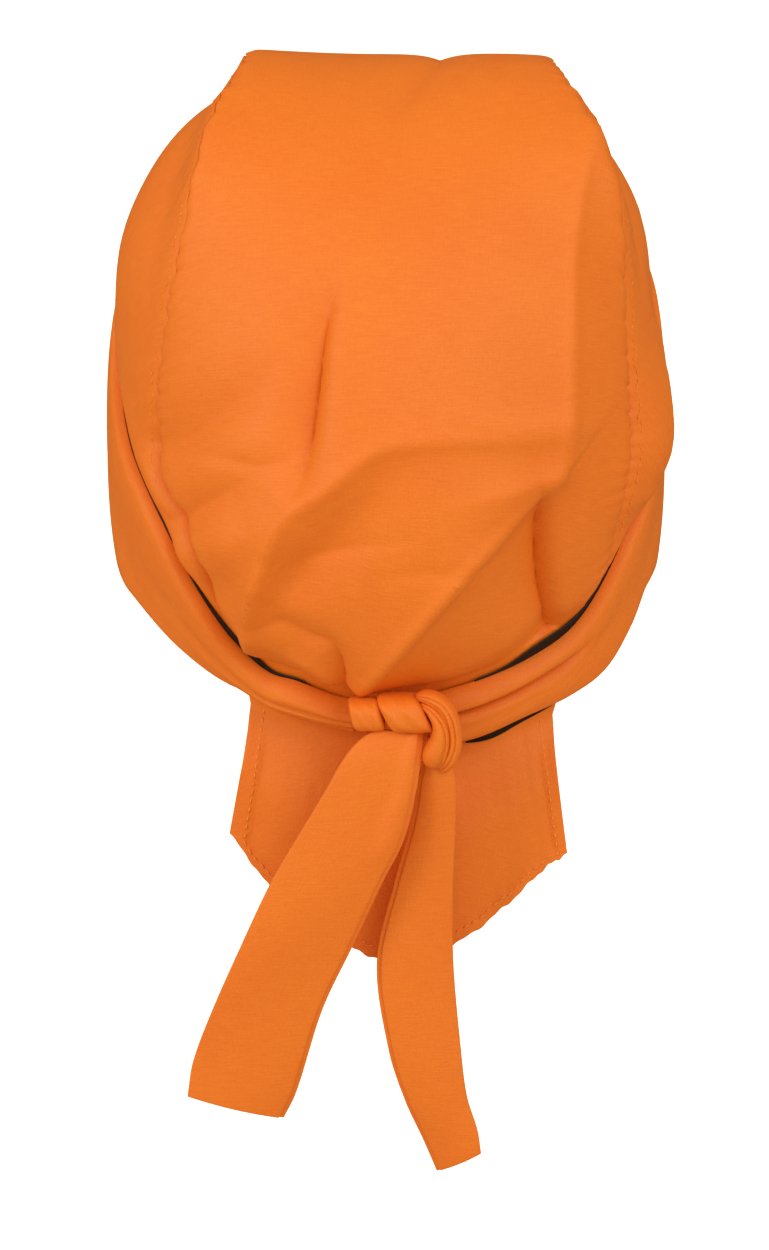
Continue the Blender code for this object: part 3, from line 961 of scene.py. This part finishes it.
def flat_turn(x, z, y, half, tall, deep, lean):
    """A flat turn of cloth across the knot: a drum with rounded ends, its faces leaning."""
    u, v = cloth_grid(TURN_COLUMNS, TURN_ROWS)
    place = np.sin((v - 0.5) * np.pi)
    swell = (1 - abs(place) ** TURN_ENDS) ** (1 / TURN_ENDS)
    front, up = super_wave(u * 2 * np.pi, TURN_SQUARE)
    wrinkle = TURN_WRINKLE * np.sin(place * 7 + up * 1.5 + x) * np.maximum(front, 0)
    point_z = z + up * tall * swell + wrinkle * up
    point_y = y + front * deep * swell - wrinkle * swell
    point_x = x - place * half + lean * (point_z - z)
    return np.stack([point_x, point_y, point_z], axis=-1) * MM


wraps = []
for name, *sizes in TURNS:
    wraps.append(piece_from(grid_mesh(name, flat_turn(*sizes), closed=True), orange_cotton))


def join(pieces, name):
    """Joins pieces into one with that name."""
    with bpy.context.temp_override(active_object=pieces[0], selected_editable_objects=pieces):
        bpy.ops.object.join()
    pieces[0].name = name
    pieces[0].data.name = name
    return pieces[0]


knot_wrap = join(wraps, "knot_wrap_cloth")
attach(knot_wrap, "root")
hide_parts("knot_wrap")

# Knot loop: the right end, pleated lengthwise into three or four folds, drawn over the wraps and down on
# their right side to where it passes under itself.

LOOP_COLUMNS = 84
LOOP_ROWS = 120

# Share of the way along, middle across, height and depth, width and thickness in mm
OUTER_FOLDS = (
    (0.00, -7.2, -17.6, 83.6, 3.4, 6.0),
    (0.15, -11.0, -17.4, 84.8, 4.0, 8.0),
    (0.32, -15.0, -19.6, 85.4, 4.6, 9.5),
    (0.50, -17.4, -24.2, 85.6, 4.8, 10.5),
    (0.68, -18.0, -30.2, 85.4, 5.0, 10.5),
    (0.85, -16.4, -35.8, 84.8, 5.4, 10.0),
    (1.00, -13.6, -39.6, 83.6, 5.0, 8.0),
)
INNER_FACE = (
    (0.00, -8.4, -19.4, 84.4, 2.6, 6.0),
    (0.20, -11.6, -20.8, 86.0, 3.4, 8.0),
    (0.42, -14.2, -24.8, 86.6, 4.8, 9.5),
    (0.62, -14.4, -29.4, 86.6, 6.0, 10.0),
    (0.82, -12.8, -34.2, 86.0, 7.6, 9.5),
    (1.00, -11.4, -38.2, 84.8, 7.2, 8.0),
)

# Each pleat's place across a strand at its start and its end, from its inner side to its outer one
OUTER_PLEATS = (
    (-0.35, -0.5),
    (0.3, 0.1),
)
INNER_PLEATS = ((0.1, 0.55),)
PLEAT_WIDTH = 0.12
PLEAT_DEPTH = 0.9


def pleated_roll(rows, pleats, columns, steps):
    """A roll of cloth along a path, with lengthwise pleats on its outer face."""
    u, v = cloth_grid(columns, steps)
    place = 0.5 - 0.5 * np.cos(np.pi * v)
    x, z, depth, wide, thick = curve(rows, place)
    ahead = curve(rows, np.minimum(place + 0.02, 1))
    behind = curve(rows, np.maximum(place - 0.02, 0))
    run_x, run_z = ahead[0] - behind[0], ahead[1] - behind[1]
    length = np.hypot(run_x, run_z)
    run_x, run_z = run_x / length, run_z / length
    swell = (1 - abs(2 * place - 1) ** 6) ** (1 / 3)
    side, front = super_wave(u * 2 * np.pi, 2.3)
    groove = np.zeros(place.shape)
    for start, end in pleats:
        gap = (side - mix(start, end, place)) / PLEAT_WIDTH
        groove += np.exp(-(abs(gap) ** 1.3))
    raised = front * thick / 2 - np.where(front > 0, groove * PLEAT_DEPTH, 0)
    point_x = x + run_z * side * wide / 2 * swell
    point_z = z - run_x * side * wide / 2 * swell
    return np.stack([point_x, depth + raised * swell, point_z], axis=-1) * MM


strands = []
for rows, pleats in ((OUTER_FOLDS, OUTER_PLEATS), (INNER_FACE, INNER_PLEATS)):
    points = pleated_roll(rows, pleats, LOOP_COLUMNS, LOOP_ROWS)
    strands.append(piece_from(grid_mesh("strand", points, closed=True), orange_cotton))
knot_loop = join(strands, "knot_loop_cloth")
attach(knot_loop, "root")
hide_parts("knot_loop")

# Ties: the two free ends of the band. Each is a flat tube of the cotton, turned right side out and pressed,
# so that its back layer stands a little beyond the front one along one edge.

TIE_CLOTH = 0.75 * MM
TIE_LAYER_GAP = 0.25 * MM
TIE_BOW = 1.2 * MM
TIE_COLUMNS = 28
TIE_ROWS = 150

# Share of the way up, left edge across and height, right edge across and height, and depth, in mm
TIE_LEFT = (
    (0.00, 58.8, -139.4, 31.0, -146.0, 83.5),
    (0.08, 57.2, -129.0, 27.2, -137.5, 84.0),
    (0.25, 51.4, -112.0, 19.8, -112.5, 85.5),
    (0.42, 44.2, -94.5, 11.2, -93.0, 86.8),
    (0.60, 34.4, -72.8, 2.6, -73.0, 87.6),
    (0.74, 26.4, -58.5, -3.8, -59.0, 87.8),
    (0.87, 18.0, -44.0, -7.4, -44.0, 87.2),
    (0.935, 13.8, -36.4, -8.4, -36.0, 86.4),
    (0.975, 9.4, -31.0, -9.0, -31.4, 85.2),
    (1.00, 3.6, -27.0, -9.2, -28.0, 83.6),
)
TIE_RIGHT = (
    (0.00, -14.0, -165.6, -26.6, -158.2, 79.0),
    (0.06, -9.8, -155.0, -25.6, -151.5, 79.2),
    (0.17, -4.4, -142.0, -22.4, -141.0, 79.6),
    (0.32, 0.4, -126.0, -20.4, -125.0, 80.0),
    (0.52, 3.8, -100.0, -18.3, -100.0, 80.2),
    (0.72, -1.2, -76.0, -18.0, -76.0, 80.2),
    (0.88, -6.3, -56.0, -18.5, -56.0, 80.6),
    (0.95, -8.0, -44.0, -18.3, -43.0, 81.4),
    (1.00, -9.4, -37.0, -16.4, -36.6, 81.6),
)


def tie_layer(rows, inset, layer, ripple):
    """One layer of a tie. An inset in mm draws in its right edge, or its left one where it is negative."""
    u, v = cloth_grid(TIE_COLUMNS, TIE_ROWS)
    left_x, left_z, right_x, right_z, depth = curve(rows, v)
    wide = np.hypot(right_x - left_x, right_z - left_z)
    narrow = 1 - abs(inset) / wide
    share = u * narrow if inset >= 0 else 1 - (1 - u) * narrow
    x = mix(left_x, right_x, share)
    z = mix(left_z, right_z, share)
    bow = TIE_BOW * (1 - (2 * u - 1) ** 2)
    y = depth * MM + bow + ripple(share, v) * MM + layer * (TIE_CLOTH + TIE_LAYER_GAP)
    return np.stack([x * MM, y, z * MM], axis=-1)


def left_ripple(u, v):
    turned = np.exp(-(((u - 0.86) / 0.1) ** 2)) * smoothstep(0.62, 0.8, v)
    return 0.7 * np.sin(5.5 * v + 2 * u) + 1.1 * turned - 0.4 * np.sin(11 * v - 3 * u)


def right_ripple(u, v):
    twist = (u - 0.5) * smoothstep(0.16, 0.0, v)
    return 0.6 * np.sin(6 * v + 1) + 3.0 * twist - 0.5 * np.cos(9 * v + 2 * u)


for name, rows, inset, ripple, cut, hung_from in (
    ("tie_left", TIE_LEFT, 1.5, left_ripple, (0.056, 0.130), knot_wrap),
    ("tie_right", TIE_RIGHT, -1.3, right_ripple, (0.038, 0.130), knot_loop),
):
    layers = []
    for layer, drawn_in in ((0, 0.0), (1, inset)):
        points = tie_layer(rows, drawn_in, layer, ripple)
        piece = cloth_piece("layer", points, orange_cotton, TIE_CLOTH, roll=0.25 * MM)
        graph = bpy.context.evaluated_depsgraph_get()
        flat = bpy.data.meshes.new_from_object(piece.evaluated_get(graph))
        layers.append(piece_from(flat, orange_cotton))
        bpy.data.objects.remove(piece)
    tie = join(layers, name + "_cloth")
    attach(tie, "root")
    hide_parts(name)

# Stitches: the top-stitching round the tail's hem, in a thread a little yellower than the cloth, and the
# fine stitches that show beside the two crown seams.

THREAD = (0.93, 0.34, 0.045, 1.0)
DEEP_THREAD = (0.80, 0.22, 0.02, 1.0)
STITCH_RISE = 0.13 * MM
HEM_STITCH = {"Pitch": 2.7 * MM, "Length": 1.9 * MM, "Thickness": 0.5 * MM}
SEAM_STITCH = {"Pitch": 2.3 * MM, "Length": 1.3 * MM, "Thickness": 0.36 * MM}
SEAM_STITCH_OFF = 1.3 * MM
HEM_STITCH_IN = 3.6 * MM
STITCH_SIZES = (0.85, 1.1)
STITCH_SEED = 7
BEAD_SEGMENTS = 6
BEAD_RINGS = 5
SEAM_STITCH_ANGLES = (-12, 88)
STITCH_PATH_STEPS = 400
thread = cotton("thread", THREAD, DEEP_THREAD, along_cloth=False)


def stitch_tree():
    """Nodes that lay one short stitch after another along a path."""
    tree = bpy.data.node_groups.new("stitches", "GeometryNodeTree")
    tree.interface.new_socket("Path", in_out="INPUT", socket_type="NodeSocketGeometry")
    for name in ("Pitch", "Length", "Thickness"):
        tree.interface.new_socket(name, in_out="INPUT", socket_type="NodeSocketFloat")
    tree.interface.new_socket("Thread", in_out="INPUT", socket_type="NodeSocketMaterial")
    seed = tree.interface.new_socket("Seed", in_out="INPUT", socket_type="NodeSocketInt")
    seed.default_value = STITCH_SEED
    tree.interface.new_socket("Stitches", in_out="OUTPUT", socket_type="NodeSocketGeometry")
    asked = tree.nodes.new("NodeGroupInput")
    made = tree.nodes.new("NodeGroupOutput")
    join_up = tree.links.new

    path = tree.nodes.new("GeometryNodeMeshToCurve")
    join_up(asked.outputs["Path"], path.inputs[0])
    spaced = tree.nodes.new("GeometryNodeResampleCurve")
    spaced.mode = "LENGTH"
    join_up(path.outputs[0], spaced.inputs["Curve"])
    join_up(asked.outputs["Pitch"], spaced.inputs["Length"])
    along = tree.nodes.new("GeometryNodeInputTangent")
    turn = tree.nodes.new("FunctionNodeAlignRotationToVector")
    turn.axis = "X"
    join_up(along.outputs[0], turn.inputs["Vector"])
    uneven = tree.nodes.new("FunctionNodeRandomValue")
    uneven.data_type = "FLOAT"
    uneven.inputs[2].default_value = STITCH_SIZES[0]
    uneven.inputs[3].default_value = STITCH_SIZES[1]
    join_up(asked.outputs["Seed"], uneven.inputs["Seed"])
    size = tree.nodes.new("ShaderNodeCombineXYZ")
    join_up(asked.outputs["Length"], size.inputs["X"])
    join_up(asked.outputs["Thickness"], size.inputs["Y"])
    join_up(asked.outputs["Thickness"], size.inputs["Z"])
    scaled = tree.nodes.new("ShaderNodeVectorMath")
    scaled.operation = "SCALE"
    join_up(size.outputs[0], scaled.inputs[0])
    join_up(uneven.outputs[1], scaled.inputs["Scale"])
    bead = tree.nodes.new("GeometryNodeMeshUVSphere")
    bead.inputs["Segments"].default_value = BEAD_SEGMENTS
    bead.inputs["Rings"].default_value = BEAD_RINGS
    bead.inputs["Radius"].default_value = 0.5
    laid = tree.nodes.new("GeometryNodeInstanceOnPoints")
    join_up(spaced.outputs[0], laid.inputs["Points"])
    join_up(bead.outputs["Mesh"], laid.inputs["Instance"])
    join_up(turn.outputs[0], laid.inputs["Rotation"])
    join_up(scaled.outputs[0], laid.inputs["Scale"])
    real = tree.nodes.new("GeometryNodeRealizeInstances")
    join_up(laid.outputs[0], real.inputs[0])
    coloured = tree.nodes.new("GeometryNodeSetMaterial")
    join_up(real.outputs[0], coloured.inputs["Geometry"])
    join_up(asked.outputs["Thread"], coloured.inputs["Material"])
    join_up(coloured.outputs[0], made.inputs[0])
    return tree


STITCHES = stitch_tree()


def stitch_line(name, points, sizes):
    """Stitches along a line of points, as a plain mesh."""
    mesh = bpy.data.meshes.new(name)
    mesh.from_pydata(points.tolist(), [(i, i + 1) for i in range(len(points) - 1)], [])
    path = bpy.data.objects.new(name, mesh)
    bpy.context.scene.collection.objects.link(path)
    modifier = path.modifiers.new("stitches", "NODES")
    modifier.node_group = STITCHES
    asked = {s.name: s.identifier for s in STITCHES.interface.items_tree if s.in_out == "INPUT"}
    for key, value in sizes.items():
        modifier[asked[key]] = value
    modifier[asked["Thread"]] = thread
    graph = bpy.context.evaluated_depsgraph_get()
    laid = bpy.data.meshes.new_from_object(path.evaluated_get(graph))
    bpy.data.objects.remove(path)
    laid.name = name
    laid.shade_smooth()
    piece = bpy.data.objects.new(name, laid)
    bpy.context.scene.collection.objects.link(piece)
    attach(piece, "root")
    return piece


def outer_face(inside, outward):
    return inside + unit(inside - CENTRE) * PANEL_STAND_OFF + outward * (PANEL_WALL + STITCH_RISE)


steps = np.linspace(0, 1, STITCH_PATH_STEPS)
hem_v = HEM_STITCH_IN / TAIL_DROP * (TAIL_SHARE - NECK_SHARE)
side_u = HEM_STITCH_IN / (2 * TAIL_HALF_WIDTH)
tail_top = TAIL_SHARE - NECK_SHARE
hem_u = np.concatenate([side_u + 0 * steps, mix(side_u, 1 - side_u, steps), 1 - side_u + 0 * steps])
hem_at = np.concatenate([mix(tail_top, hem_v, steps), hem_v + 0 * steps, mix(hem_v, tail_top, steps)])
BACKWARD = np.array((0.0, 1.0, 0.0))
stitch_line("hem_stitches", outer_face(centre_panel(hem_u, hem_at), BACKWARD), HEM_STITCH)

seam_angles = mix(SEAM_STITCH_ANGLES[0], SEAM_STITCH_ANGLES[1], steps)
for name, side in (("left_seam_stitches", 1), ("right_seam_stitches", -1)):
    across = side * (seam_across(seam_angles, side) + SEAM_STITCH_OFF)
    line = panel_surface(seam_angles, across)
    stitch_line(name, outer_face(line, unit(line - CENTRE)), SEAM_STITCH)

# Stage: a pale floor, a soft key light from the left with a fill from the right, and the camera.

CAMERA_PLACE = (1.6 * MM, 1.5, 0.438)
CAMERA_AIM = (1.6 * MM, 0.0, -22 * MM)
PHOTO_HEIGHT = 1250
FOCAL_PIXELS = 5234
SENSOR = 36
FLOOR_HEIGHT = -0.18
FLOOR_SIZE = 80
FLOOR_COLOUR = (0.86, 0.86, 0.86, 1)
FLOOR_ROUGHNESS = 0.7
FLOOR_GLOW = 0.8
WHITE = (1, 1, 1, 1)
WARM_WALLS = (1.0, 0.81, 0.46, 1)
WALL_STRENGTH = 0.84

# Name, place, size in metres, power in watts and colour. Each light aims at the origin.
LIGHTS = (
    ("key", (1.75, 1.2, 1.0), 0.7, 17, (1.0, 0.985, 0.96)),
    ("fill", (-1.0, 1.3, 1.2), 1.0, 12, (1.0, 1.0, 1.0)),
)

floor_mesh = bpy.data.meshes.new("floor")
half = FLOOR_SIZE / 2
floor_corners = [(-half, -half, FLOOR_HEIGHT), (half, -half, FLOOR_HEIGHT), (half, half, FLOOR_HEIGHT)]
floor_mesh.from_pydata([*floor_corners, (-half, half, FLOOR_HEIGHT)], [], [(0, 1, 2, 3)])
floor_material = bpy.data.materials.new("pale floor")
floor_material.use_nodes = True
floor_shader = floor_material.node_tree.nodes["Principled BSDF"]
floor_shader.inputs["Base Color"].default_value = FLOOR_COLOUR
floor_shader.inputs["Roughness"].default_value = FLOOR_ROUGHNESS
floor_shader.inputs["Emission Color"].default_value = WHITE
floor_shader.inputs["Emission Strength"].default_value = FLOOR_GLOW
floor = piece_from(floor_mesh, floor_material)
floor.visible_glossy = False
floor.visible_diffuse = False
floor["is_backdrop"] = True


def turned_towards(place, aim):
    """The turn that points a lamp's or a camera's view from its place at its aim."""
    return (Vector(aim) - Vector(place)).to_track_quat("-Z", "Y").to_euler()


def soft_light(name, place, size, power, colour):
    light = bpy.data.lights.new(name, "AREA")
    light.size = size
    light.energy = power
    light.color = colour
    lamp = bpy.data.objects.new(name, light)
    lamp.location = place
    lamp.rotation_euler = turned_towards(place, (0, 0, 0))
    bpy.context.scene.collection.objects.link(lamp)


for light_row in LIGHTS:
    soft_light(*light_row)

# The studio's walls throw a warm light, and the camera sees them as white
world = bpy.data.worlds.new("studio")
bpy.context.scene.world = world
world.use_nodes = True
world.cycles_visibility.glossy = False
studio = world.node_tree
warm = studio.nodes["Background"]
warm.inputs["Color"].default_value = WARM_WALLS
warm.inputs["Strength"].default_value = WALL_STRENGTH
white = studio.nodes.new("ShaderNodeBackground")
white.inputs["Color"].default_value = WHITE
seen = studio.nodes.new("ShaderNodeLightPath")
walls = studio.nodes.new("ShaderNodeMixShader")
studio.links.new(seen.outputs["Is Camera Ray"], walls.inputs["Fac"])
studio.links.new(warm.outputs[0], walls.inputs[1])
studio.links.new(white.outputs[0], walls.inputs[2])
studio.links.new(walls.outputs[0], studio.nodes["World Output"].inputs["Surface"])
bpy.context.scene.view_settings.view_transform = "Standard"

camera_data = bpy.data.cameras.new("camera")
camera_data.sensor_width = SENSOR
camera_data.lens = FOCAL_PIXELS / PHOTO_HEIGHT * SENSOR
camera = bpy.data.objects.new("camera", camera_data)
camera.location = CAMERA_PLACE
camera.rotation_euler = turned_towards(CAMERA_PLACE, CAMERA_AIM)
bpy.context.scene.collection.objects.link(camera)
bpy.context.scene.camera = camera

low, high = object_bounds()
sizes = {"cad": [list(cad_low), list(cad_high)], "visual": [list(low), list(high)]}
